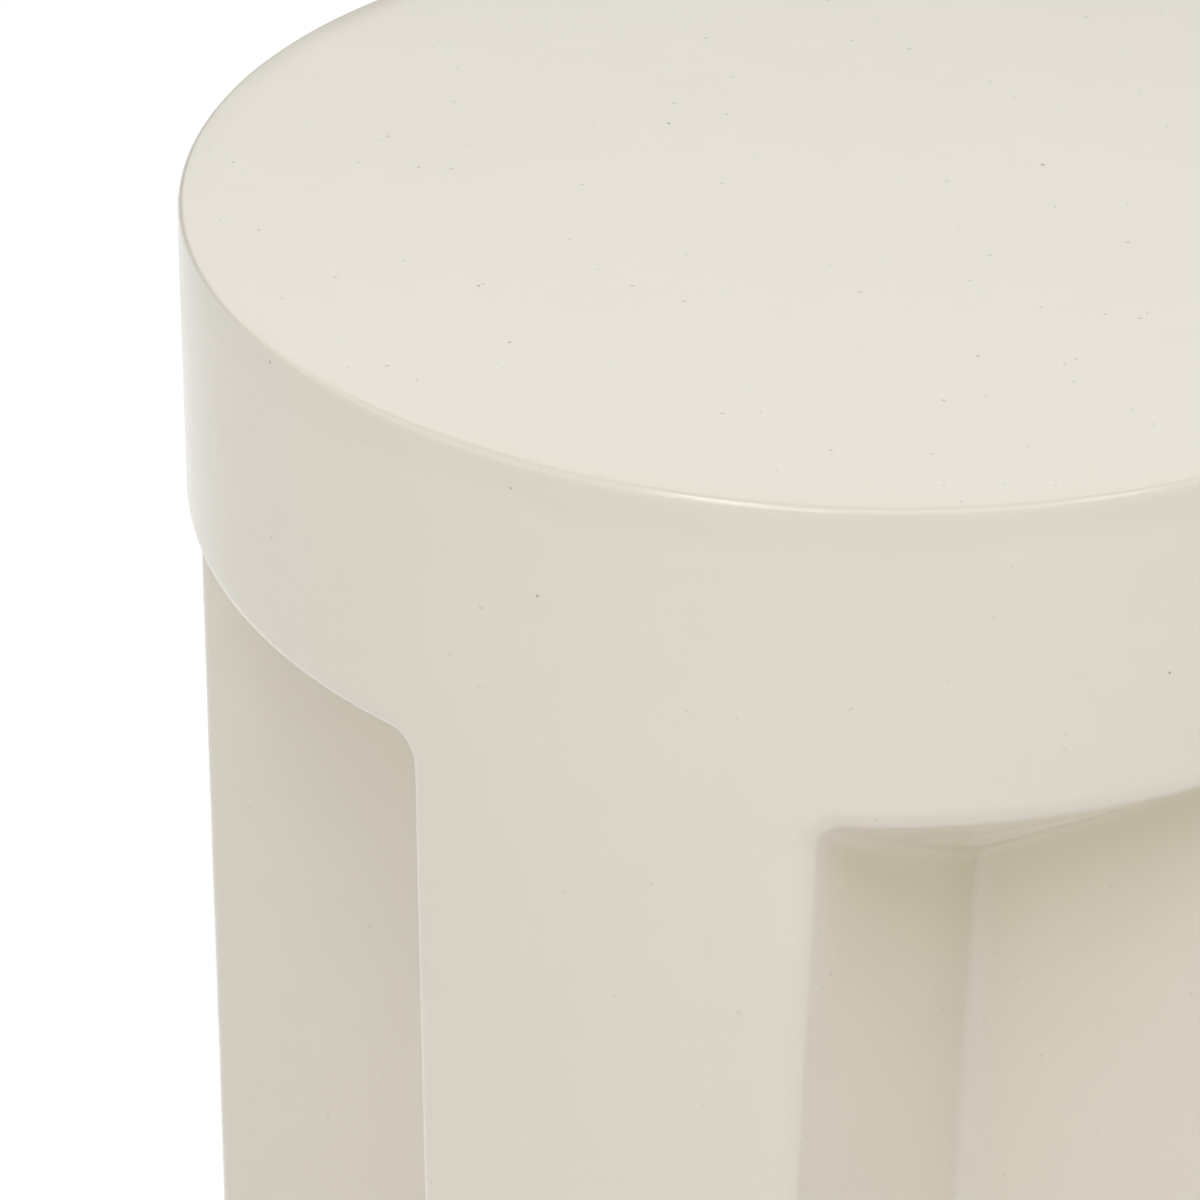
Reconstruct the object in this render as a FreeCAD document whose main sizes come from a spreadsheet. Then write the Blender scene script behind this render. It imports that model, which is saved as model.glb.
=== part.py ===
"""Ceramic drum side table: one hollow glazed stoneware casting on four self-adhesive felt pads.

Millimetres, +Z up. The origin is on the floor at the centre of the table.
A round drum head stands on four arms laid out as a cross. The arms point along X and Y, and
their ends are flush with the drum's side. Between each two arms a V-shaped recess with a
sloping soffit is cut into the drum.
"""
import FreeCAD, Part
import Sketcher
import math
import os

SIZES = (
    # alias, value in mm or degrees, what it is
    ("drum_radius", 200.0, "radius of the head and of the arms' ends"),
    ("table_height", 450.0, "floor to table top"),
    ("head_depth", 99.0, "height of the plain band under the top"),
    ("soffit_slope", 37.0, "degrees that the recess soffit falls towards the middle"),
    ("arm_width", 118.0, "width of an arm's end where it meets the head"),
    ("arm_draft", 1.0, "degrees that each side of an arm leans, narrower at the foot"),
    ("arm_flare", 6.2, "degrees that each side of an arm turns, wider towards the middle"),
    ("recess_corner_radius", 6.5, "hollow upright corner of a recess"),
    ("soffit_corner_radius", 9.0, "hollow corner between a recess's walls and its soffit"),
    ("recess_mouth_radius", 10.5, "rounded rim of a recess, along the arms and under the head"),
    ("top_edge_radius", 2.5, "rounded edge of the table top"),
    ("foot_edge_radius", 3.0, "rounded edge of the foot"),
    ("wall_thickness", 8.0, "cast wall, glaze included"),
    ("floor_thickness", 9.0, "cast floor across the foot"),
    ("vent_hole_diameter", 3.0, "hole in the floor that lets the air out in firing"),
    ("pad_diameter", 30.0, "felt pad"),
    ("pad_thickness", 2.6, "felt pad"),
    ("pad_edge_radius", 0.6, "rounded lower edge of a felt pad"),
    ("pad_end_distance", 34.0, "pad's centre from the end of its arm"),
    ("glue_thickness", 0.4, "adhesive disc between pad and foot"),
    ("glue_margin", 1.0, "how far the adhesive disc stays inside the pad's edge"),
)

# Levels and slopes that several features share, as expressions on the sheet. The foot level is
# the underside of the casting, and the ring level is the lower edge of the head's plain band.
FOOT_LEVEL = "(Sizes.pad_thickness + Sizes.glue_thickness)"
RING_LEVEL = "(Sizes.table_height - Sizes.head_depth)"
SLOPE = "(Sizes.soffit_slope * 1 deg)"
DRAFT = "(Sizes.arm_draft * 1 deg)"
FLARE = "tan(Sizes.arm_flare * 1 deg)"
FOOT_HALF_WIDTH = "(Sizes.arm_width / 2 - (%s - %s) * tan(%s))" % (RING_LEVEL, FOOT_LEVEL, DRAFT)

# The walls of a recess run past the drum's side by this share of its radius.
OVERRUN = 1.25
ARM_COUNT = 4
ARM_DIRECTIONS = (("front", 0, -1), ("right", 1, 0), ("back", 0, 1), ("left", -1, 0))
TOLERANCE = 0.01


def make_sheet(doc):
    """Put every driving dimension in the sheet, one alias each."""
    sheet = doc.addObject("Spreadsheet::Sheet", "Sizes")
    for row, (alias, value, note) in enumerate(SIZES, start=1):
        sheet.set("A%d" % row, alias)
        sheet.set("B%d" % row, str(value))
        sheet.set("C%d" % row, note)
        sheet.setAlias("B%d" % row, alias)
    return sheet


def bind(feature, **expressions):
    """Bind properties of a feature to expressions; two underscores stand for a dot."""
    for name, expression in expressions.items():
        feature.setExpression(name.replace("__", "."), expression)
    return feature


def origin_feature(body, role):
    """The body's own origin plane or axis that has this role."""
    return [item for item in body.Origin.OriginFeatures if item.Role == role][0]


def recess_sketch(body, half_width, level):
    """A recess's outline in the +X +Y quadrant at this level, running past the drum's side.

    half_width is that of an arm's end. The two walls meet on the diagonal.
    """
    corner = "(%s + Sizes.drum_radius * %s) / (1 + %s)" % (half_width, FLARE, FLARE)
    far = "(%g * Sizes.drum_radius)" % OVERRUN
    near = "(%s - (%s - Sizes.drum_radius) * %s)" % (half_width, far, FLARE)
    sketch = body.newObject("Sketcher::SketchObject", "RecessOutline")
    sketch.AttachmentSupport = [(origin_feature(body, "XY_Plane"), "")]
    sketch.MapMode = "FlatFace"
    bind(sketch, AttachmentOffset__Base__z=level)
    places = ((corner, corner), (far, near), (far, far), (near, far))
    starts = [FreeCAD.Vector(x, y, 0) for x, y in ((3, 3), (9, 2), (9, 9), (2, 9))]
    for start, end in zip(starts, starts[1:] + starts[:1]):
        sketch.addGeometry(Part.LineSegment(start, end), False)
    for line, (across, along) in enumerate(places):
        sketch.addConstraint(Sketcher.Constraint("Coincident", line, 2, (line + 1) % 4, 1))
        for kind, expression in (("DistanceX", across), ("DistanceY", along)):
            number = sketch.addConstraint(Sketcher.Constraint(kind, -1, 1, line, 1, 5.0))
            sketch.setExpression("Constraints[%d]" % number, expression)
    return sketch


def carved_drum(doc, name, radius, bottom, top, half_width, soffit_level):
    """A drum with four recesses, each under a soffit that falls in a cone towards the middle.

    half_width is that of an arm at the foot level, and soffit_level is the soffit's height
    at this radius.
    """
    body = doc.addObject("PartDesign::Body", name)
    drum = body.newObject("PartDesign::AdditiveCylinder", name + "Blank")
    bind(drum, Radius=radius, Height="%s - %s" % (top, bottom), Placement__Base__z=bottom)
    outline = recess_sketch(body, half_width, FOOT_LEVEL)
    recess = body.newObject("PartDesign::Pocket", name + "Recess")
    recess.Profile = outline
    recess.Reversed = True
    bind(recess, Length="%s - %s" % (soffit_level, FOOT_LEVEL), TaperAngle="-" + DRAFT)
    doc.recompute()
    if recess.Shape.Volume >= drum.Shape.Volume:
        raise RuntimeError("%s cut nothing" % recess.Name)
    recesses = body.newObject("PartDesign::PolarPattern", name + "Recesses")
    recesses.Originals = [recess]
    recesses.Axis = (origin_feature(body, "Z_Axis"), [""])
    recesses.Angle = 360
    recesses.Occurrences = ARM_COUNT
    body.Tip = recesses
    soffit = body.newObject("PartDesign::AdditiveCone", name + "Soffit")
    height = "%s * tan(%s)" % (radius, SLOPE)
    bind(soffit, Radius2=radius, Height=height, Placement__Base__z="%s - %s" % (soffit_level, height))
    soffit.Radius1 = 0
    doc.recompute()
    return body


def edges_where(shape, wanted):
    """Names of the shape's edges that the test picks."""
    return ["Edge%d" % number for number, edge in enumerate(shape.Edges, start=1) if wanted(edge)]


def sample_points(edge):
    """Five points spread along an edge."""
    first, last = edge.ParameterRange
    return [edge.valueAt(first + (last - first) * step / 4) for step in range(5)]


def on_cylinder(edge, radius):
    """Whether an edge lies on the cylinder of this radius about Z."""
    return all(abs((p.x ** 2 + p.y ** 2) ** 0.5 - radius) < TOLERANCE for p in sample_points(edge))


def at_level(edge, level):
    """Whether an edge lies in the horizontal plane at this height."""
    return all(abs(p.z - level) < TOLERANCE for p in sample_points(edge))


def round_edges(doc, body, name, wanted, radius):
    """Round the edges of the body's tip that the test picks."""
    base = body.Tip
    fillet = body.newObject("PartDesign::Fillet", name)
    fillet.Base = (base, edges_where(base.Shape, wanted))
    bind(fillet, Radius=radius)
    body.Tip = fillet
    doc.recompute()
    return fillet


def upright_corner(edge):
    """Whether an edge is the upright corner of a recess, on a diagonal of the plan."""
    return all(abs(abs(p.x) - abs(p.y)) < TOLERANCE for p in sample_points(edge))


def soffit_corner(edge, radius, slope, level):
    """Whether an edge lies on the soffit's cone, inside the drum's side."""
    def gap(point):
        reach = (point.x ** 2 + point.y ** 2) ** 0.5
        return abs(level - (radius - reach) * math.tan(math.radians(slope)) - point.z)
    return not on_cylinder(edge, radius) and all(gap(p) < TOLERANCE for p in sample_points(edge))


def round_hollow_corners(doc, body, sheet, radius, level, thickness):
    """Round a carved drum's hollow corners, which this wall thickness makes larger inside."""
    round_edges(doc, body, body.Name + "Uprights", upright_corner,
                "Sizes.recess_corner_radius + %s" % thickness)
    round_edges(doc, body, body.Name + "Soffits",
                lambda edge: soffit_corner(edge, radius, sheet.soffit_slope, level),
                "Sizes.soffit_corner_radius + %s" % thickness)


def outer_casting(doc, sheet):
    """The table's outside: carved drum, hollow corners, recess rims, top edge and foot edge."""
    radius = sheet.drum_radius
    foot = sheet.pad_thickness + sheet.glue_thickness
    top = sheet.table_height
    body = carved_drum(doc, "Outside", "Sizes.drum_radius", FOOT_LEVEL, "Sizes.table_height",
                       FOOT_HALF_WIDTH, RING_LEVEL)
    round_hollow_corners(doc, body, sheet, radius, top - sheet.head_depth, "0")

    def recess_rim(edge):
        return on_cylinder(edge, radius) and not at_level(edge, foot) and not at_level(edge, top)
    round_edges(doc, body, "RecessRims", recess_rim, "Sizes.recess_mouth_radius")
    round_edges(doc, body, "TopEdge", lambda edge: at_level(edge, top), "Sizes.top_edge_radius")
    round_edges(doc, body, "FootEdge", lambda edge: at_level(edge, foot), "Sizes.foot_edge_radius")
    return body


def inner_hollow(doc, sheet):
    """The cast hollow: the outside moved in by the wall, with the vent hole below it."""
    radius = "(Sizes.drum_radius - Sizes.wall_thickness)"
    floor_top = "(%s + Sizes.floor_thickness)" % FOOT_LEVEL
    ceiling = "(Sizes.table_height - Sizes.wall_thickness)"
    half_width = "(%s - Sizes.wall_thickness)" % FOOT_HALF_WIDTH
    soffit_level = "(%s + Sizes.wall_thickness * (1 / cos(%s) - tan(%s)))" % (RING_LEVEL, SLOPE, SLOPE)
    body = carved_drum(doc, "Hollow", radius, floor_top, ceiling, half_width, soffit_level)
    slope = math.radians(sheet.soffit_slope)
    rise = sheet.wall_thickness * (1 / math.cos(slope) - math.tan(slope))
    round_hollow_corners(doc, body, sheet, sheet.drum_radius - sheet.wall_thickness,
                         sheet.table_height - sheet.head_depth + rise, "Sizes.wall_thickness")
    vent = body.newObject("PartDesign::AdditiveCylinder", "VentHole")
    bind(vent, Radius="Sizes.vent_hole_diameter / 2", Height="2 * Sizes.floor_thickness",
         Placement__Base__z="%s - Sizes.floor_thickness / 2" % FOOT_LEVEL)
    doc.recompute()
    return body


def glazed_body(doc, sheet):
    """The casting: its outside less its hollow."""
    casting = doc.addObject("Part::Cut", "GlazedBody")
    casting.Label = "glazed_body"
    casting.Base = outer_casting(doc, sheet)
    casting.Tool = inner_hollow(doc, sheet)
    return casting


def place_at_arm(feature, across, along, level):
    """Put a pad piece on its arm's centre line, near the arm's end, at this level."""
    reach = "(Sizes.drum_radius - Sizes.pad_end_distance)"
    bind(feature, Placement__Base__x="%d * %s" % (across, reach),
         Placement__Base__y="%d * %s" % (along, reach), Placement__Base__z=level)


def felt_pad(doc, sheet, place, across, along):
    """A felt disc with a rounded lower edge, standing on the floor."""
    name = "foot_pad_" + place
    disc = doc.addObject("Part::Cylinder", name + "_blank")
    bind(disc, Radius="Sizes.pad_diameter / 2", Height="Sizes.pad_thickness")
    doc.recompute()
    lower = [number for number, edge in enumerate(disc.Shape.Edges, start=1) if at_level(edge, 0)]
    pad = doc.addObject("Part::Fillet", name)
    pad.Label = name
    pad.Base = disc
    pad.Edges = [(number, sheet.pad_edge_radius, sheet.pad_edge_radius) for number in lower]
    place_at_arm(pad, across, along, "0")
    return pad


def adhesive_disc(doc, place, across, along):
    """The pad's adhesive disc, between the felt and the foot."""
    name = "pad_adhesive_" + place
    disc = doc.addObject("Part::Cylinder", name)
    disc.Label = name
    bind(disc, Radius="Sizes.pad_diameter / 2 - Sizes.glue_margin", Height="Sizes.glue_thickness")
    place_at_arm(disc, across, along, "Sizes.pad_thickness")
    return disc


def check(doc, pieces):
    """Stop if any object failed or any piece isn't one valid solid."""
    for item in doc.Objects:
        if "Invalid" in item.State or "Error" in item.State:
            raise RuntimeError("%s failed: %s" % (item.Name, item.State))
    for piece in pieces:
        shape = piece.Shape
        if shape.isNull() or not shape.isValid() or len(shape.Solids) != 1:
            raise RuntimeError("%s isn't one valid solid" % piece.Label)


def main():
    doc = FreeCAD.newDocument("DrumSideTable")
    sheet = make_sheet(doc)
    doc.recompute()
    pieces = [glazed_body(doc, sheet)]
    for place, across, along in ARM_DIRECTIONS:
        pieces.append(felt_pad(doc, sheet, place, across, along))
        pieces.append(adhesive_disc(doc, place, across, along))
    doc.recompute()
    check(doc, pieces)
    os.makedirs("parts", exist_ok=True)
    for piece in pieces:
        piece.Shape.exportStep(os.path.join("parts", piece.Label + ".step"))
        box = piece.Shape.optimalBoundingBox()
        report = (piece.Label, piece.Shape.Volume, box.ZMin, box.ZMax)
        print("%-22s volume %10.1f mm3, z %.2f to %.2f" % report)


main()
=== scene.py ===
"""Looks of a glazed ceramic drum side table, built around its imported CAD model.

Metres, +Z up, in the CAD's own frame: the origin is on the floor at the centre of the table, and
its four arms point along X and Y. The casting is one mesh, worked out from the same sizes as the
CAD solid: rounded fields give the radius of its side at each azimuth and level. A slow waviness and
the thinner glaze along the top edge are pressed into it.
"""
import math
import bpy
import numpy as np
from mathutils import Matrix, Vector


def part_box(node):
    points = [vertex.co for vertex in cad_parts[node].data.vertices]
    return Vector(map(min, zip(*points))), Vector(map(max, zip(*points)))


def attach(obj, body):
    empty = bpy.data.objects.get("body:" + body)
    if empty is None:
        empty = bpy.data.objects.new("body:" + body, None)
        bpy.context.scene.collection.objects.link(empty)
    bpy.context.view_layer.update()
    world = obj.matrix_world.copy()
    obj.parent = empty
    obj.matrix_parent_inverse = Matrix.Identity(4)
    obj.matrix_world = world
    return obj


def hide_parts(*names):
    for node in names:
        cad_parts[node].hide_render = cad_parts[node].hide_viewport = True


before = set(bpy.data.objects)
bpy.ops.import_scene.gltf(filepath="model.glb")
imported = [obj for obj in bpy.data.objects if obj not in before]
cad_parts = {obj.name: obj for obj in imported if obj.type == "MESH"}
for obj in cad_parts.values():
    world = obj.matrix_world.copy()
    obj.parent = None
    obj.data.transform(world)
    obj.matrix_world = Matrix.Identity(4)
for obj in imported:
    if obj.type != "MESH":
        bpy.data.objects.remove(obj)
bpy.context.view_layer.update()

# The casting's sizes.
CASTING_LOW, CASTING_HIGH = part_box("glazed_body")
RADIUS = CASTING_HIGH.x
TOP = CASTING_HIGH.z
FOOT = CASTING_LOW.z
HEAD_DEPTH = 0.099
RING = TOP - HEAD_DEPTH
SOFFIT_SLOPE = math.radians(37.0)
ARM_WIDTH = 0.118
ARM_DRAFT = math.radians(1.0)
RECESS_ROOT = 0.0725
UPRIGHT_CORNER_RADIUS = 0.0065
SOFFIT_CORNER_RADIUS = 0.009
RIM_RADIUS = 0.0105
TOP_EDGE_RADIUS = 0.0025
FOOT_EDGE_RADIUS = 0.003
FLOOR_THICKNESS = 0.009
VENT_RADIUS = 0.0015

# A recess's hollow corner keeps its radius this far below the head, then widens by this share of
# the further fall, over this much of it.
CORNER_WIDENS_FROM = 0.070
CORNER_GROWTH = 0.03
CORNER_GROWTH_FALL = 0.140

# How finely the casting is meshed: columns and steps between rows, in metres. Fine columns lie
# where the outline bends sharply, and this far past it.
QUARTER_COLUMNS = 116
FINE_STEP = 0.0013
COARSE_STEP = 0.0045
SOFFIT_STEP = 0.0018
TOP_STEP = 0.009
SHARP_BEND = 0.2
BEND_REACH = 0.012
FILLET_ROWS = 7
SOLE_ROWS = 13

# Where rows are closer: over this share of the soffit's fall, and this far below the top.
SOFFIT_SHARE = 0.85
EDGE_BAND = 0.022

# The radius at which the rows of the top end, and how the side's radius is searched for.
TOP_MIDDLE = 0.004
OUTLINE_POINTS = 4000
SEARCH_FROM = RADIUS / 5
HALVINGS = 40

# Depths, wavelengths and seeds of the casting's warp and ripple.
WARP = 0.00045
WARP_LENGTHS = (0.31, 0.23, 0.17, 0.13, 0.11)
WARP_SEED = 3
RIPPLE = 0.00012
RIPPLE_LENGTHS = (0.052, 0.043, 0.036, 0.031, 0.027)
RIPPLE_SEED = 5

# The glaze drawn thin along the top edge: its depth, its reach and how far that reach wanders.
THIN_GLAZE = 0.00022
THIN_REACH = 0.0075
THIN_WANDER = 0.002
THIN_WANDER_LENGTHS = (0.19, 0.12, 0.08)
THIN_WANDER_SEED = 8

# The glaze pooled, and painted shade, at the head of a recess: how far they run from the walls' faces
# and from the soffit, and how they start behind the rim and in from the outline.
POOL_AND_SHADE_FROM_WALL = 0.004
POOL_AND_SHADE_FROM_SOFFIT = 0.025
POOL_AND_SHADE_OVERLAP = 0.0015
POOL_AND_SHADE_FADE = 0.001
POOL_AND_SHADE_BEHIND_RIM = 0.005
POOL_AND_SHADE_ONSET = 0.020


# ---- Fields: a value that is positive inside, and its gradient, for an array of points ----

def outward(points):
    """Radius of each point about Z, and its unit direction from the axis."""
    radius = np.hypot(points[:, 0], points[:, 1])
    return radius, np.stack([points[:, 0] / radius, points[:, 1] / radius, 0 * radius], 1)


def negative(field):
    """The same shape, inside out."""
    return -field[0], -field[1]


def rounded_common(first, second, radius):
    """What two shapes have in common, with the edge between them rolled to this radius."""
    (value1, gradient1), (value2, gradient2) = first, second
    cosine = np.sum(gradient1 * gradient2, axis=1)
    sine2 = np.maximum(1 - cosine ** 2, 1e-6)
    a, b = value1 - radius, value2 - radius
    pull1, pull2 = (b * cosine - a) / sine2, (a * cosine - b) / sine2
    across = np.sqrt(np.maximum(a * a + b * b - 2 * a * b * cosine, 1e-12) / sine2)
    rolled = (pull1 > 0) & (pull2 > 0)
    value = np.where(rolled, radius - across, np.minimum(value1, value2))
    blend = (pull1[:, None] * gradient1 + pull2[:, None] * gradient2) / across[:, None]
    nearer = np.where((value1 < value2)[:, None], gradient1, gradient2)
    return value, np.where(rolled[:, None], blend, nearer)


def recess_faces(points):
    """The faces of the +X +Y quarter's recess: two walls and a soffit that falls inwards.

    Each wall leans by the draft at its outer end, and twists so that its root stays upright.
    """
    half_width = ARM_WIDTH / 2 - (RING - points[:, 2]) * math.tan(ARM_DRAFT)
    flare = (RECESS_ROOT - half_width) / (RADIUS - RECESS_ROOT)
    towards = np.stack([flare, np.ones(len(points)), np.full(len(points), -math.tan(ARM_DRAFT))], 1)
    towards /= np.linalg.norm(towards, axis=1)[:, None]
    at = np.stack([np.full(len(points), RADIUS), half_width], 1)
    wall1 = np.sum((points[:, :2] - at) * towards[:, :2], axis=1), towards
    wall2 = np.sum((points[:, :2] - at[:, ::-1]) * towards[:, 1::-1], axis=1), towards[:, [1, 0, 2]]
    radius, direction = outward(points)
    fall, level = math.sin(SOFFIT_SLOPE), math.cos(SOFFIT_SLOPE)
    under = (RING - points[:, 2]) * level - (RADIUS - radius) * fall
    soffit = under, direction * fall - np.array([0, 0, level])
    return wall1, wall2, soffit


def recess(points):
    """That recess, with its hollow corners rolled."""
    wall1, wall2, soffit = recess_faces(points)
    below = np.clip(RING - points[:, 2] - CORNER_WIDENS_FROM, 0, CORNER_GROWTH_FALL)
    walls = rounded_common(wall1, wall2, UPRIGHT_CORNER_RADIUS + CORNER_GROWTH * below)
    return rounded_common(walls, soffit, SOFFIT_CORNER_RADIUS)


def casting_side(points):
    """The casting between its foot and its top: a drum less a recess, with a rolled rim."""
    radius, direction = outward(points)
    drum = RADIUS - radius, -direction
    return rounded_common(drum, negative(recess(points)), RIM_RADIUS)


def side_points(azimuths, level):
    """Points of the casting's side at this level, one for each azimuth of the first quarter."""
    inner, outer = np.full(len(azimuths), SEARCH_FROM), np.full(len(azimuths), RADIUS)
    heights = np.full(len(azimuths), float(level))

    def at(radius):
        return np.stack([radius * np.cos(azimuths), radius * np.sin(azimuths), heights], 1)
    for _ in range(HALVINGS):
        middle = (inner + outer) / 2
        solid = casting_side(at(middle))[0] > 0
        inner, outer = np.where(solid, middle, inner), np.where(solid, outer, middle)
    return at((inner + outer) / 2)


# ---- The casting's mesh ----

def column_azimuths():
    """Azimuths of one quarter's columns, closer together round the rims and the hollow corner."""
    dense = np.linspace(0, math.pi / 2, OUTLINE_POINTS)
    outline = side_points(dense, (FOOT + RING) / 2)
    steps = np.diff(outline[:, :2], axis=0)
    lengths = np.hypot(steps[:, 0], steps[:, 1])
    headings = np.unwrap(np.arctan2(steps[:, 1], steps[:, 0]))
    bend = np.abs(np.gradient(headings)) / lengths
    reach = int(BEND_REACH / lengths.mean())
    bend = np.convolve(np.pad(bend, reach, "wrap"), np.hanning(2 * reach + 1), "same")[reach:-reach]
    spacing = np.where(bend > SHARP_BEND * bend.max(), FINE_STEP, COARSE_STEP)
    smooth = np.convolve(np.pad(1 / spacing, reach, "wrap"), np.ones(reach) / reach, "same")
    travelled = np.concatenate([[0], np.cumsum(smooth[reach:-reach] * lengths)])
    wanted = np.arange(QUARTER_COLUMNS) / QUARTER_COLUMNS * travelled[-1]
    return np.interp(wanted, travelled, dense)


def all_round(quarter):
    """A quarter's points, turned to the other three."""
    x, y, z = quarter.T
    return np.concatenate([quarter, np.stack([-y, x, z], 1), np.stack([-x, -y, z], 1),
                           np.stack([y, -x, z], 1)])


def circle(azimuths, radius, level):
    """One row of points on a circle, at the columns' azimuths."""
    quarter = np.stack([radius * np.cos(azimuths), radius * np.sin(azimuths)], 1)
    return all_round(np.column_stack([quarter, np.full(len(azimuths), level)]))


def levels(low, high, step):
    """Evenly spaced levels from low up to, but not with, high."""
    count = math.ceil((high - low) / step)
    return low + (high - low) * np.arange(count) / count


def casting_rows():
    """Rows of points from the vent's end, over the foot and up the side, to the top's middle."""
    azimuths = column_azimuths()
    quarter_turns = np.linspace(0, math.pi / 2, FILLET_ROWS)
    rows = [circle(azimuths, VENT_RADIUS, FOOT + FLOOR_THICKNESS)]

    edge = side_points(azimuths, FOOT + FOOT_EDGE_RADIUS)
    inwards = casting_side(edge)[1] * np.array([1, 1, 0])
    inwards = inwards / np.linalg.norm(inwards, axis=1)[:, None]
    roll = [edge + inwards * FOOT_EDGE_RADIUS * (1 - math.cos(turn))
            - np.array([0, 0, FOOT_EDGE_RADIUS * math.sin(turn)]) for turn in quarter_turns[::-1]]
    vent = circle(azimuths, VENT_RADIUS, FOOT)
    sole = all_round(roll[0])
    for share in np.linspace(0, 1, SOLE_ROWS)[:-1]:
        rows.append(vent + (sole - vent) * share)
    rows += [all_round(row) for row in roll]

    soffit_low = RING - (RADIUS - ARM_WIDTH / 2) * math.tan(SOFFIT_SLOPE) * SOFFIT_SHARE
    side = np.concatenate([levels(FOOT + FOOT_EDGE_RADIUS, soffit_low, COARSE_STEP)[1:],
                           levels(soffit_low, RING + RIM_RADIUS, SOFFIT_STEP),
                           levels(RING + RIM_RADIUS, TOP - EDGE_BAND, COARSE_STEP),
                           levels(TOP - EDGE_BAND, TOP - TOP_EDGE_RADIUS, SOFFIT_STEP)])
    rows += [all_round(side_points(azimuths, level)) for level in side]

    for turn in quarter_turns:
        rows.append(circle(azimuths, RADIUS - TOP_EDGE_RADIUS * (1 - math.cos(turn)),
                           TOP - TOP_EDGE_RADIUS * (1 - math.sin(turn))))
    for radius in levels(-(RADIUS - TOP_EDGE_RADIUS), -TOP_MIDDLE, TOP_STEP)[1:]:
        rows.append(circle(azimuths, -radius, TOP))
    return np.array(rows)


def grid_normals(rows):
    """Outward unit normals of a grid of points whose columns close round."""
    along = np.gradient(rows, axis=0)
    across = np.roll(rows, -1, axis=1) - np.roll(rows, 1, axis=1)
    normals = np.cross(across, along)
    return normals / np.maximum(np.linalg.norm(normals, axis=2, keepdims=True), 1e-12)


def waves(points, lengths, seed):
    """Slow waviness from 0 to 1: sines of these wavelengths, in directions drawn from the seed."""
    draw = np.random.RandomState(seed)
    total = np.zeros(points.shape[:-1])
    for length in lengths:
        direction = draw.normal(size=3)
        direction /= np.linalg.norm(direction)
        total += np.sin(points @ direction * 2 * math.pi / length + draw.uniform(0, 2 * math.pi))
    return 0.5 + total / len(lengths) / 2


def glaze_relief(rows):
    """How far the finished surface lies inside the CAD's, at each point of the grid."""
    height = rows[..., 2]
    radius = np.hypot(rows[..., 0], rows[..., 1])
    warp = WARP * waves(rows, WARP_LENGTHS, WARP_SEED)
    ripple = RIPPLE * waves(rows, RIPPLE_LENGTHS, RIPPLE_SEED)
    from_edge = np.maximum(TOP - height, RADIUS - radius)
    wander = THIN_WANDER * (waves(rows, THIN_WANDER_LENGTHS, THIN_WANDER_SEED) - 0.5)
    thin = THIN_GLAZE * np.exp(-((from_edge + wander) / THIN_REACH) ** 2)
    return warp + ripple + thin


def pooled_glaze_and_shade(rows):
    """How far the glaze has pooled, with painted shade, at each point of the grid, from 0 to 1.

    Both are deepest at the head of a recess's walls, where the head shades them.
    """
    quarter = np.abs(rows.reshape(-1, 3))
    wall1, wall2, soffit = [face[0] for face in recess_faces(quarter)]
    wall = np.minimum(wall1, wall2)
    inside = np.clip((np.minimum(wall, soffit) + POOL_AND_SHADE_OVERLAP) / POOL_AND_SHADE_FADE, 0, 1)
    behind = RADIUS - np.hypot(quarter[:, 0], quarter[:, 1])
    depth = np.clip((behind - POOL_AND_SHADE_BEHIND_RIM) / POOL_AND_SHADE_ONSET, 0, 1)
    from_wall = np.maximum(wall, 0) / POOL_AND_SHADE_FROM_WALL
    from_soffit = np.maximum(soffit, 0) / POOL_AND_SHADE_FROM_SOFFIT
    return inside * depth * np.exp(-from_wall - from_soffit)


def mesh_from_rows(name, rows):
    """One closed smooth mesh: the rows' quads, and a fan at each end."""
    count, across = rows.shape[:2]
    ends = np.stack([rows[0].mean(0), rows[-1].mean(0)])
    points = np.concatenate([rows.reshape(-1, 3), ends])
    index = np.arange(count * across).reshape(count, across)
    right = np.roll(index, -1, axis=1)
    quads = np.stack([index[:-1], right[:-1], right[1:], index[1:]], -1).reshape(-1, 4)
    first_fan = np.stack([right[0], index[0], np.full(across, count * across)], 1)
    last_fan = np.stack([index[-1], right[-1], np.full(across, count * across + 1)], 1)
    mesh = bpy.data.meshes.new(name)
    mesh.from_pydata(points.tolist(), [], quads.tolist() + first_fan.tolist() + last_fan.tolist())
    mesh.shade_smooth()
    mesh.validate()
    piece = bpy.data.objects.new(name, mesh)
    bpy.context.scene.collection.objects.link(piece)
    return piece


def make_casting():
    """The finished casting, which stands for the CAD's."""
    rows = casting_rows()
    # Pooled glaze and painted shade at the head of each recess, from 0 to 1.
    pooled_and_shaded = pooled_glaze_and_shade(rows)
    rows = rows - grid_normals(rows) * glaze_relief(rows)[..., None]
    piece = mesh_from_rows("casting", rows)
    attribute = piece.data.attributes.new("pooled_and_shaded", "FLOAT", "POINT")
    attribute.data.foreach_set("value", np.append(pooled_and_shaded, [0.0, 0.0]))
    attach(piece, "root")
    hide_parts("glazed_body")
    return piece


# ---- Pads under the foot ----

PAD_COLUMNS = 96
PAD_EDGE_RADIUS = 0.0006
PAD_EDGE_ROWS = 5
PAD_SIDE_ROWS = 6
PAD_FACE_ROWS = 24
PAD_MIDDLE_SHARE = 0.03
FELT_HOLLOWS = 0.00018
FELT_LENGTHS = (0.0061, 0.0047, 0.0038, 0.0031, 0.0026)
FELT_SEED = 11


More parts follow.
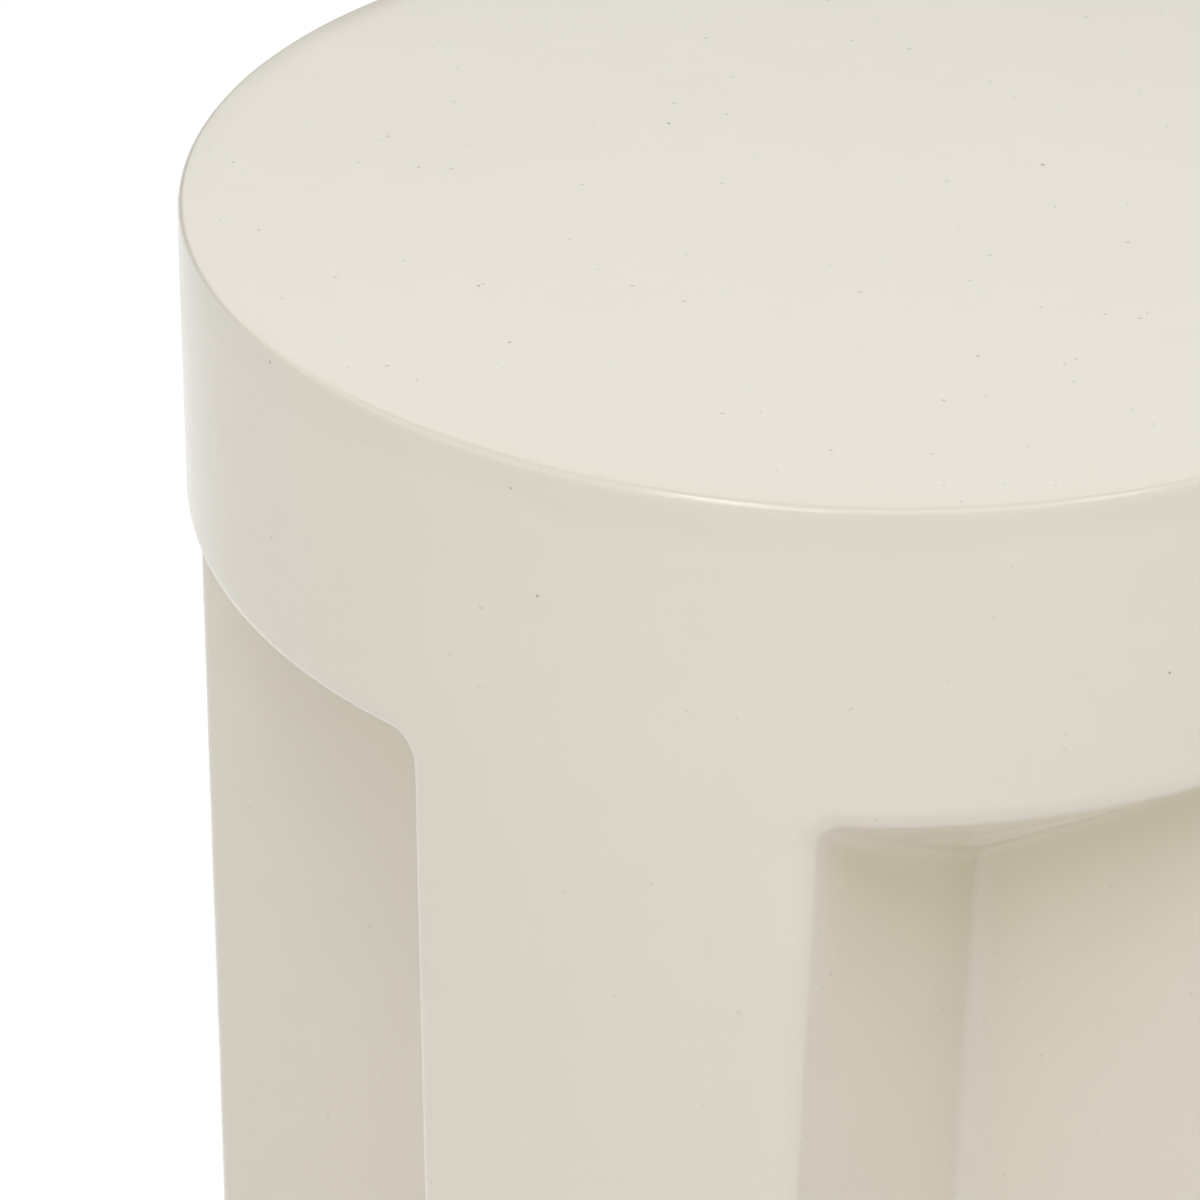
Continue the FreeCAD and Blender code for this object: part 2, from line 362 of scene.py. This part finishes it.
def make_pad(node):
    """A felt disc in place of a CAD pad, its faces and edge pressed in unevenly by their fibres."""
    low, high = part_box(node)
    centre = (low + high) / 2
    radius = (high.x - low.x) / 2
    turns = np.linspace(0, math.pi / 2, PAD_EDGE_ROWS)
    face = np.linspace(PAD_MIDDLE_SHARE, 1, PAD_FACE_ROWS)[:-1] * (radius - PAD_EDGE_RADIUS)
    roll = [(PAD_EDGE_RADIUS * (1 - math.sin(turn)), PAD_EDGE_RADIUS * (1 - math.cos(turn)))
            for turn in turns]
    profile = [(along, low.z) for along in face]
    profile += [(radius - inwards, low.z + rise) for inwards, rise in roll]
    profile += [(radius, level) for level in np.linspace(low.z, high.z, PAD_SIDE_ROWS)[1:-1]]
    profile += [(radius - rise, high.z - inwards) for inwards, rise in roll]
    profile += [(along, high.z) for along in face[::-1]]
    azimuths = np.linspace(0, 2 * math.pi, PAD_COLUMNS, endpoint=False)
    rows = np.array([np.stack([centre.x + along * np.cos(azimuths), centre.y + along * np.sin(azimuths),
                               np.full(PAD_COLUMNS, level)], 1) for along, level in profile])
    fibres = waves(rows, FELT_LENGTHS, FELT_SEED)
    rows = rows - grid_normals(rows) * (FELT_HOLLOWS * fibres)[..., None]
    piece = mesh_from_rows(node.replace("foot_pad", "felt_pad"), rows)
    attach(piece, "root")
    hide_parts(node)
    return piece


# ---- Materials ----

def new_material(name):
    """A node material, with its tree and its Principled shader."""
    material = bpy.data.materials.new(name)
    material.use_nodes = True
    return material, material.node_tree, material.node_tree.nodes["Principled BSDF"]


def add(tree, kind, inputs=(), **settings):
    """A node with these settings; inputs maps an input's name or place to a value or an output."""
    node = tree.nodes.new(kind)
    for name, value in settings.items():
        setattr(node, name, value)
    for key, value in dict(inputs).items():
        if isinstance(value, bpy.types.NodeSocket):
            tree.links.new(value, node.inputs[key])
        else:
            node.inputs[key].default_value = value
    return node


def noise(tree, position, scale, detail=2.0, roughness=0.5):
    """Noise of about this many features per metre."""
    return add(tree, "ShaderNodeTexNoise", {"Vector": position, "Scale": scale, "Detail": detail,
                                            "Roughness": roughness}).outputs["Fac"]


def spread(tree, value, low, high, to_low=0.0, to_high=1.0, smooth=False):
    """The value mapped from one range to another, and held there."""
    inputs = {"Value": value, "From Min": low, "From Max": high, "To Min": to_low, "To Max": to_high}
    kind = "SMOOTHSTEP" if smooth else "LINEAR"
    return add(tree, "ShaderNodeMapRange", inputs, interpolation_type=kind).outputs["Result"]


def math_node(tree, operation, first, second):
    """One operation on two values."""
    return add(tree, "ShaderNodeMath", {0: first, 1: second}, operation=operation).outputs[0]


def mixed(tree, share, first, second, blend="MIX"):
    """Two colours mixed, or the first multiplied by this share of the second."""
    return add(tree, "ShaderNodeMix", {0: share, 6: first, 7: second}, data_type="RGBA",
               blend_type=blend).outputs[2]


def spots(tree, position, per_metre, largest, share):
    """Round spots, 1 inside and 0 outside: one for some of the cells, up to this radius in metres."""
    cells = add(tree, "ShaderNodeTexVoronoi", {"Vector": position, "Scale": per_metre})
    chance = add(tree, "ShaderNodeSeparateColor", {"Color": cells.outputs["Color"]}).outputs[0]
    radius = spread(tree, chance, 1 - share, 1.0, 0.0, largest * per_metre)
    inside = math_node(tree, "SUBTRACT", radius, cells.outputs["Distance"])
    return spread(tree, inside, 0.0, 0.3 * largest * per_metre)


# The colours of the glaze, of the iron specks in it and of the clay at its foot.
GLAZE_LIGHT = (0.825, 0.762, 0.660, 1)
GLAZE_DARK = (0.808, 0.750, 0.650, 1)
GLAZE_MOTTLE = (0.838, 0.776, 0.680, 1)
IRON_SPECK = (0.24, 0.205, 0.155, 1)
FAINT_SPECK = (0.42, 0.36, 0.28, 1)
BARE_CLAY = (0.44, 0.37, 0.28, 1)
PALE_CLAY = (0.60, 0.53, 0.43, 1)

# The colours of the felt and of the adhesive.
FELT_DARK = (0.085, 0.070, 0.055, 1)
FELT_MIDDLE = (0.190, 0.165, 0.135, 1)
FELT_TUFT = (0.230, 0.205, 0.175, 1)
FOAM_DARK = (0.62, 0.60, 0.54, 1)
FOAM_PALE = (0.78, 0.76, 0.70, 1)

# What the colour is multiplied by where the glaze is thin, under the top edge, and where it pools, with
# painted shade, at the head of a recess.
THIN_TINT = (0.955, 0.965, 0.950, 1)
POOLED_GLAZE_AND_SHADE_TINT = (0.960, 0.935, 0.82, 1)

# Depths below the top: where the thin glaze fades out downwards and upwards, and where the top's
# own finish begins. Heights above the foot: where the bare clay ends.
THIN_ENDS_BELOW = (0.017, 0.009)
THIN_ENDS_ABOVE = (0.003, 0.0015)
TOP_FINISH_FROM = (0.004, 0.002)
EDGE_GLOSS_FROM = (0.006, 0.003)
CLAY_ENDS = (0.0036, 0.0044)

# Larger specks. On the top: x, y and radius. On the side: azimuth in degrees, level and radius.
TOP_SPECKS = ((0.047, 0.036, 0.0008), (-0.075, -0.106, 0.0006), (-0.053, -0.135, 0.0006),
              (-0.066, 0.018, 0.0007))
SIDE_SPECKS = ((-97.4, 0.441, 0.0005), (-95.0, 0.410, 0.0006), (-44.1, 0.391, 0.0006),
               (-67.5, 0.353, 0.0008), (-124.5, 0.445, 0.0007))


def larger_specks(tree, position):
    """The larger specks, 1 inside and 0 outside."""
    places = [((x, y, TOP), (0, 0, 1), radius) for x, y, radius in TOP_SPECKS]
    for azimuth, level, radius in SIDE_SPECKS:
        outwards = (math.cos(math.radians(azimuth)), math.sin(math.radians(azimuth)), 0)
        places.append(((RADIUS * outwards[0], RADIUS * outwards[1], level), outwards, radius))
    total = 0.0
    for place, normal, radius in places:
        sunk = np.array(place) - np.array(normal) * glaze_relief(np.array([place]))
        away = add(tree, "ShaderNodeVectorMath", {0: position, 1: sunk}, operation="DISTANCE")
        speck = spread(tree, away.outputs["Value"], 0.3 * radius, radius, 1.0, 0.0, smooth=True)
        total = math_node(tree, "ADD", total, speck)
    return total


def thin_glaze(tree, coordinates, height):
    """The band under the top edge where the glaze is thin, from 0 to 1, with a ragged lower end."""
    sag = spread(tree, noise(tree, coordinates, 16.0, 3.0), 0.3, 0.7, -0.004, 0.004)
    level = math_node(tree, "SUBTRACT", height, sag)
    thin = spread(tree, level, TOP - THIN_ENDS_BELOW[0], TOP - THIN_ENDS_BELOW[1], smooth=True)
    below_edge = spread(tree, height, TOP - THIN_ENDS_ABOVE[0], TOP - THIN_ENDS_ABOVE[1], 1.0, 0.0,
                        smooth=True)
    thin = math_node(tree, "MULTIPLY", thin, below_edge)
    patches = spread(tree, noise(tree, coordinates, 9.0, 2.0), 0.35, 0.6, 0.45, 1.0)
    return math_node(tree, "MULTIPLY", thin, patches)


def glaze_material():
    """Warm off-white gloss glaze with iron specks and pinholes, wiped off the foot."""
    material, tree, shader = new_material("glaze")
    coordinates = add(tree, "ShaderNodeTexCoord").outputs["Object"]
    height = add(tree, "ShaderNodeSeparateXYZ", {"Vector": coordinates}).outputs["Z"]

    cloud = noise(tree, coordinates, 7.0, 3.0)
    mottle = noise(tree, coordinates, 55.0, 3.0)
    colour = mixed(tree, spread(tree, cloud, 0.3, 0.7), GLAZE_LIGHT, GLAZE_DARK)
    colour = mixed(tree, spread(tree, mottle, 0.35, 0.75, 0.0, 0.35), colour, GLAZE_MOTTLE)
    colour = mixed(tree, thin_glaze(tree, coordinates, height), colour, THIN_TINT, "MULTIPLY")
    # Pooled glaze and painted shade: the colour is darkened and yellowed at the head of each recess.
    pooled_and_shaded = add(tree, "ShaderNodeAttribute", attribute_name="pooled_and_shaded").outputs["Fac"]
    colour = mixed(tree, pooled_and_shaded, colour, POOLED_GLAZE_AND_SHADE_TINT, "MULTIPLY")
    pinholes = spots(tree, coordinates, 150.0, 0.0004, 0.9)
    on_top = spread(tree, height, TOP - TOP_FINISH_FROM[0], TOP - TOP_FINISH_FROM[1], 0.35, 0.8)
    pinholes = math_node(tree, "MULTIPLY", pinholes, on_top)
    specks = math_node(tree, "ADD", pinholes, larger_specks(tree, coordinates))
    faint = spots(tree, coordinates, 115.0, 0.0009, 0.5)
    colour = mixed(tree, math_node(tree, "MULTIPLY", faint, 0.11), colour, FAINT_SPECK)
    colour = mixed(tree, math_node(tree, "MULTIPLY", specks, 0.6), colour, IRON_SPECK)

    wander = spread(tree, noise(tree, coordinates, 45.0, 4.0), 0.3, 0.7, -0.0012, 0.0012)
    level = math_node(tree, "ADD", height, wander)
    bare = spread(tree, level, FOOT + CLAY_ENDS[0], FOOT + CLAY_ENDS[1], 1.0, 0.0, smooth=True)
    grain = noise(tree, coordinates, 900.0, 3.0, 0.7)
    clay = mixed(tree, grain, BARE_CLAY, PALE_CLAY)
    tree.links.new(mixed(tree, bare, colour, clay), shader.inputs["Base Color"])

    gloss = spread(tree, noise(tree, coordinates, 24.0, 3.0), 0.3, 0.7, 0.14, 0.20)
    edge_gloss = spread(tree, height, TOP - EDGE_GLOSS_FROM[0], TOP - EDGE_GLOSS_FROM[1], 1.0, 0.45)
    gloss = math_node(tree, "MULTIPLY", gloss, edge_gloss)
    roughness = add(tree, "ShaderNodeMix", {0: bare, 2: gloss, 3: 0.85}).outputs[0]
    tree.links.new(roughness, shader.inputs["Roughness"])

    peel = noise(tree, coordinates, 170.0, 2.0)
    bumped = add(tree, "ShaderNodeBump", {"Height": peel, "Strength": 1.0, "Distance": 0.00004})
    pits = add(tree, "ShaderNodeBump", {"Height": math_node(tree, "ADD", specks, faint), "Strength": 1.0,
                                        "Distance": 0.00012, "Normal": bumped.outputs[0]}, invert=True)
    clay_height = math_node(tree, "MULTIPLY", grain, bare)
    rough = add(tree, "ShaderNodeBump", {"Height": clay_height, "Strength": 1.0, "Distance": 0.0002,
                                         "Normal": pits.outputs[0]})
    tree.links.new(rough.outputs[0], shader.inputs["Normal"])
    shader.inputs["IOR"].default_value = 1.5
    return material


def felt_material():
    """Pressed grey-brown felt: tangled fibres and a little fuzz."""
    material, tree, shader = new_material("felt")
    coordinates = add(tree, "ShaderNodeTexCoord").outputs["Object"]
    tangle = noise(tree, coordinates, 1400.0, 4.0, 0.7)
    tufts = noise(tree, coordinates, 260.0, 3.0, 0.6)
    colour = mixed(tree, spread(tree, tangle, 0.3, 0.7), FELT_DARK, FELT_MIDDLE)
    colour = mixed(tree, spread(tree, tufts, 0.4, 0.8, 0.0, 0.5), colour, FELT_TUFT)
    tree.links.new(colour, shader.inputs["Base Color"])
    tree.links.new(spread(tree, tangle, 0.3, 0.7, 0.85, 1.0), shader.inputs["Roughness"])
    fibres = add(tree, "ShaderNodeBump", {"Height": math_node(tree, "ADD", tangle, tufts), "Strength": 1.0,
                                          "Distance": 0.0004})
    tree.links.new(fibres.outputs[0], shader.inputs["Normal"])
    shader.inputs["Sheen Weight"].default_value = 0.3
    shader.inputs["Sheen Roughness"].default_value = 0.5
    return material


def adhesive_material():
    """Milky acrylic foam tape with fine bubbles."""
    material, tree, shader = new_material("adhesive")
    coordinates = add(tree, "ShaderNodeTexCoord").outputs["Object"]
    foam = noise(tree, coordinates, 1800.0, 3.0, 0.6)
    colour = mixed(tree, foam, FOAM_DARK, FOAM_PALE)
    tree.links.new(colour, shader.inputs["Base Color"])
    tree.links.new(spread(tree, foam, 0.3, 0.7, 0.35, 0.55), shader.inputs["Roughness"])
    bubbles = add(tree, "ShaderNodeBump", {"Height": foam, "Strength": 1.0, "Distance": 0.00008})
    tree.links.new(bubbles.outputs[0], shader.inputs["Normal"])
    return material


# ---- Floor, light and camera ----

CAMERA_AZIMUTH = math.radians(18.9)
FLOOR_SIZE = 40.0
FLOOR_COLOUR = (0.92, 0.905, 0.90, 1)
FLOOR_GLOW = 0.44

# The studio's colour, its brightness at the horizon, on its walls and at its ceiling, the heights
# in a ray's direction where these meet, and the way in which the walls are lighter.
STUDIO_COLOUR = (0.975, 1.0, 0.995, 1)
HORIZON_LIGHT = 0.14
WALL_LIGHT = 1.10
CEILING_LIGHT = 0.08
WALLS_FROM = (0.24, 0.44)
CEILING_FROM = (0.55, 0.79)
LIGHTER_WALLS = (-0.24, 0.30, 0.0)


def make_stage():
    """A pale floor that shows white to the eye and in reflections, and keeps the table's shadow."""
    mesh = bpy.data.meshes.new("floor")
    half = FLOOR_SIZE / 2
    corners = [(-half, -half, 0), (half, -half, 0), (half, half, 0), (-half, half, 0)]
    mesh.from_pydata(corners, [], [(0, 1, 2, 3)])
    floor = bpy.data.objects.new("floor", mesh)
    bpy.context.scene.collection.objects.link(floor)
    material, tree, shader = new_material("floor")
    shader.inputs["Base Color"].default_value = FLOOR_COLOUR
    shader.inputs["Roughness"].default_value = 0.9
    path = add(tree, "ShaderNodeLightPath")
    mirrored = math_node(tree, "MAXIMUM", path.outputs["Is Glossy Ray"], path.outputs["Is Transmission Ray"])
    seen = math_node(tree, "MAXIMUM", path.outputs["Is Camera Ray"], mirrored)
    glow = add(tree, "ShaderNodeEmission", {"Strength": math_node(tree, "MULTIPLY", seen, FLOOR_GLOW)})
    both = add(tree, "ShaderNodeAddShader", {0: shader.outputs[0], 1: glow.outputs[0]})
    tree.links.new(both.outputs[0], tree.nodes["Material Output"].inputs["Surface"])
    mesh.materials.append(material)


def make_surroundings():
    """A studio whose walls are lit halfway up, more so behind the table and to its left."""
    world = bpy.data.worlds.new("studio")
    bpy.context.scene.world = world
    world.use_nodes = True
    tree = world.node_tree
    direction = add(tree, "ShaderNodeTexCoord").outputs["Generated"]
    upwards = add(tree, "ShaderNodeSeparateXYZ", {"Vector": direction}).outputs["Z"]
    rising = spread(tree, upwards, *WALLS_FROM, HORIZON_LIGHT, WALL_LIGHT, smooth=True)
    fading = spread(tree, upwards, *CEILING_FROM, 1.0, CEILING_LIGHT / WALL_LIGHT, smooth=True)
    lighter = Matrix.Rotation(CAMERA_AZIMUTH, 3, "Z") @ Vector(LIGHTER_WALLS)
    facing = add(tree, "ShaderNodeVectorMath", {0: direction, 1: lighter}, operation="DOT_PRODUCT")
    towards = math_node(tree, "ADD", facing.outputs["Value"], 1.0)
    strength = math_node(tree, "MULTIPLY", math_node(tree, "MULTIPLY", rising, fading), towards)
    background = tree.nodes["Background"]
    tree.links.new(strength, background.inputs["Strength"])
    background.inputs["Color"].default_value = STUDIO_COLOUR


def make_softbox(name, place, width, height, brightness):
    """A softbox that faces the table's head; brightness 1 is a white wall in full light."""
    lamp = bpy.data.lights.new(name, "AREA")
    lamp.shape = "RECTANGLE"
    lamp.size = width
    lamp.size_y = height
    lamp.energy = math.pi * width * height * brightness
    holder = bpy.data.objects.new(name, lamp)
    bpy.context.scene.collection.objects.link(holder)
    place = Matrix.Rotation(CAMERA_AZIMUTH, 4, "Z") @ Vector(place)
    holder.location = place
    holder.rotation_mode = "QUATERNION"
    holder.rotation_quaternion = (Vector((0, 0, RING)) - place).to_track_quat("-Z", "Y")


def make_lights():
    """Five softboxes, each with its place, width, height and brightness.

    A place is how far right of the table, beyond it and up from the floor, as the camera sees it.
    """
    make_softbox("key", (-0.57, -0.88, 2.50), 0.46, 0.62, 8.4)
    make_softbox("strip", (1.12, -0.62, 2.35), 0.20, 0.72, 7.2)
    make_softbox("overhead", (0.37, -1.40, 2.27), 2.45, 0.98, 2.05)
    make_softbox("front", (-0.58, -2.15, 1.69), 1.19, 1.01, 2.4)
    make_softbox("side", (2.44, -0.65, 1.32), 1.35, 2.07, 0.75)


# The camera's place about the table and the way it looks, before it turns by its azimuth.
CAMERA_DISTANCE = 1.3983
CAMERA_ABOVE_TOP = 0.6581
CAMERA_YAW = -0.05259
CAMERA_PITCH = 0.52094
CAMERA_ROLL = 0.01264
CAMERA_LENS = 156.0
SENSOR_WIDTH = 36.0
FARTHEST_SEEN = 100.0


def make_camera():
    """The camera: level with the pitch, yaw and roll above, then turned round the table."""
    forward = Vector((math.sin(CAMERA_YAW) * math.cos(CAMERA_PITCH),
                      math.cos(CAMERA_YAW) * math.cos(CAMERA_PITCH), -math.sin(CAMERA_PITCH)))
    level_right = Vector((math.cos(CAMERA_YAW), -math.sin(CAMERA_YAW), 0))
    level_up = level_right.cross(forward)
    right = math.cos(CAMERA_ROLL) * level_right + math.sin(CAMERA_ROLL) * level_up
    up = -math.sin(CAMERA_ROLL) * level_right + math.cos(CAMERA_ROLL) * level_up
    matrix = Matrix((right, up, -forward)).transposed().to_4x4()
    matrix.translation = (0, -CAMERA_DISTANCE, TOP + CAMERA_ABOVE_TOP)
    data = bpy.data.cameras.new("camera")
    data.sensor_width = SENSOR_WIDTH
    data.lens = CAMERA_LENS
    data.clip_end = FARTHEST_SEEN
    camera = bpy.data.objects.new("camera", data)
    camera.matrix_world = Matrix.Rotation(CAMERA_AZIMUTH, 4, "Z") @ matrix
    bpy.context.scene.collection.objects.link(camera)
    bpy.context.scene.camera = camera


def paint(piece, material):
    """Give the piece this one material."""
    piece.data.materials.clear()
    piece.data.materials.append(material)


casting = make_casting()
paint(casting, glaze_material())
felt = felt_material()
adhesive = adhesive_material()
for node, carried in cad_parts.items():
    if node.startswith("foot_pad"):
        paint(make_pad(node), felt)
    if node.startswith("pad_adhesive"):
        paint(carried, adhesive)
make_stage()
make_surroundings()
make_lights()
make_camera()
scene = bpy.context.scene
scene.view_settings.view_transform = "Standard"
